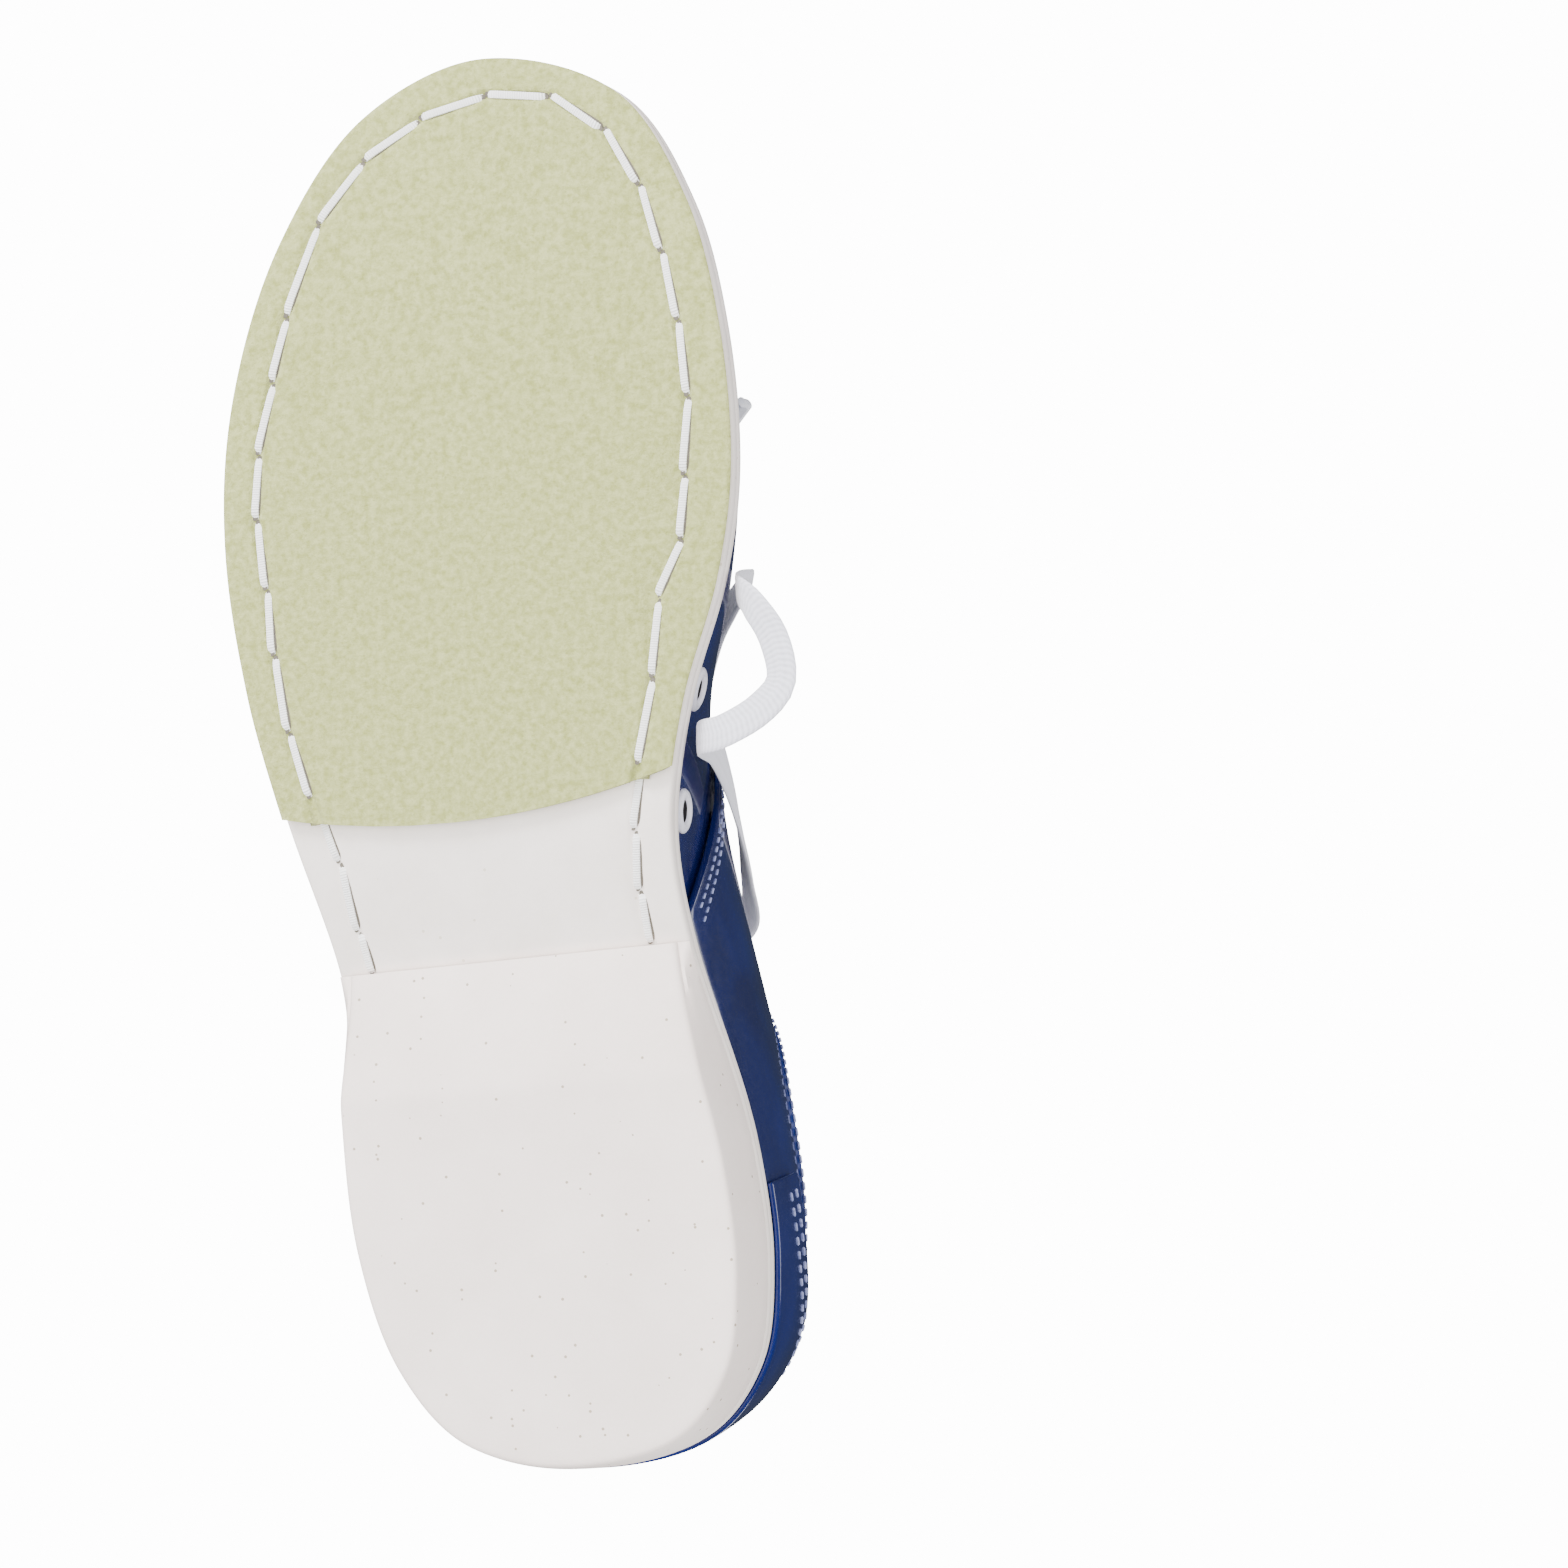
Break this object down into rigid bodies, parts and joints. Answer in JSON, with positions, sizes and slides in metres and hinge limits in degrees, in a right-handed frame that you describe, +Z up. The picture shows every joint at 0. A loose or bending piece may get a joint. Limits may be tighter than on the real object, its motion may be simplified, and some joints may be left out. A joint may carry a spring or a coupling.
{
  "type": "bowling shoe",
  "caption": "Right bowling shoe with a slide pad under the forefoot, a wedge heel and a laced glossy upper.",
  "frame": {"origin": "middle of the shoe's outline at floor level, without the loose lace", "axes": "+Z up from the floor, +Y towards the heel, -Y towards the toe, +X towards the medial side, -X towards the lateral side"},
  "size_m": [0.1229, 0.2929, 0.1203],
  "materials": {
    "slide_pad": "matt sueded microfibre, pale greenish beige",
    "outsole": "smooth moulded rubber, off-white with a pinkish grey cast",
    "heel": "smooth moulded rubber, off-white with fine dark specks",
    "thread": "waxed white sole thread",
    "cork": "ground cork filler",
    "shank": "plain strip steel",
    "board": "fibre board",
    "stiffener": "stiffened fibre sheet",
    "patent": "high gloss patent leather, deep blue",
    "binding": "narrow patent binding",
    "lining": "brushed textile lining, pale grey",
    "collar": "padded textile collar, pale grey",
    "foam": "open cell foam",
    "eyelet": "white enamelled metal",
    "lace": "flat woven white lace",
    "aglet": "clear white tip"
  },
  "bodies": {
    "shoe": {"slide_pad": "slide_pad", "outsole": "outsole", "heel_wedge": "heel", "sole_stitching_forepart": "thread", "sole_stitching_waist_lateral": "thread", "sole_stitching_waist_medial": "thread", "bottom_filler": "cork", "shank": "shank", "insole_board": "board", "sock_liner": "lining", "vamp": "patent", "vamp_lining": "lining", "toe_puff": "stiffener", "quarter_lateral": "patent", "quarter_medial": "patent", "quarter_lining_lateral": "lining", "quarter_lining_medial": "lining", "eyestay_lateral": "patent", "eyestay_medial": "patent", "heel_counter": "patent", "counter_stiffener": "stiffener", "collar_padding": "collar", "topline_binding": "binding", "vent_eyelet_1": "eyelet", "vent_eyelet_2": "eyelet", "lace_held": "lace", "lace_knot": "lace", "lace_loop_medial": "lace", "lace_loop_lateral": "lace", "lace_end_medial": "lace", "lace_end_lateral": "lace", "lace_aglet_medial": "aglet", "lace_aglet_lateral": "aglet", "eyelet_lateral_1": "eyelet", "eyelet_lateral_2": "eyelet", "eyelet_lateral_3": "eyelet", "eyelet_lateral_4": "eyelet", "eyelet_lateral_5": "eyelet", "eyelet_medial_1": "eyelet", "eyelet_medial_2": "eyelet", "eyelet_medial_3": "eyelet", "eyelet_medial_4": "eyelet", "eyelet_medial_5": "eyelet"},
    "tongue": {"tongue_outer": "patent", "tongue_foam": "foam", "tongue_lining": "lining"}
  },
  "joints": [
    {"name": "tongue_hinge", "type": "hinge", "parent": "shoe", "child": "tongue", "pos_m": [0, -0.046, 0.056], "axis": [1, 0, 0], "range_deg": [-10, 0], "stiffness_Nm_per_rad": 0.3, "springref_deg": 3.44}
  ]
}
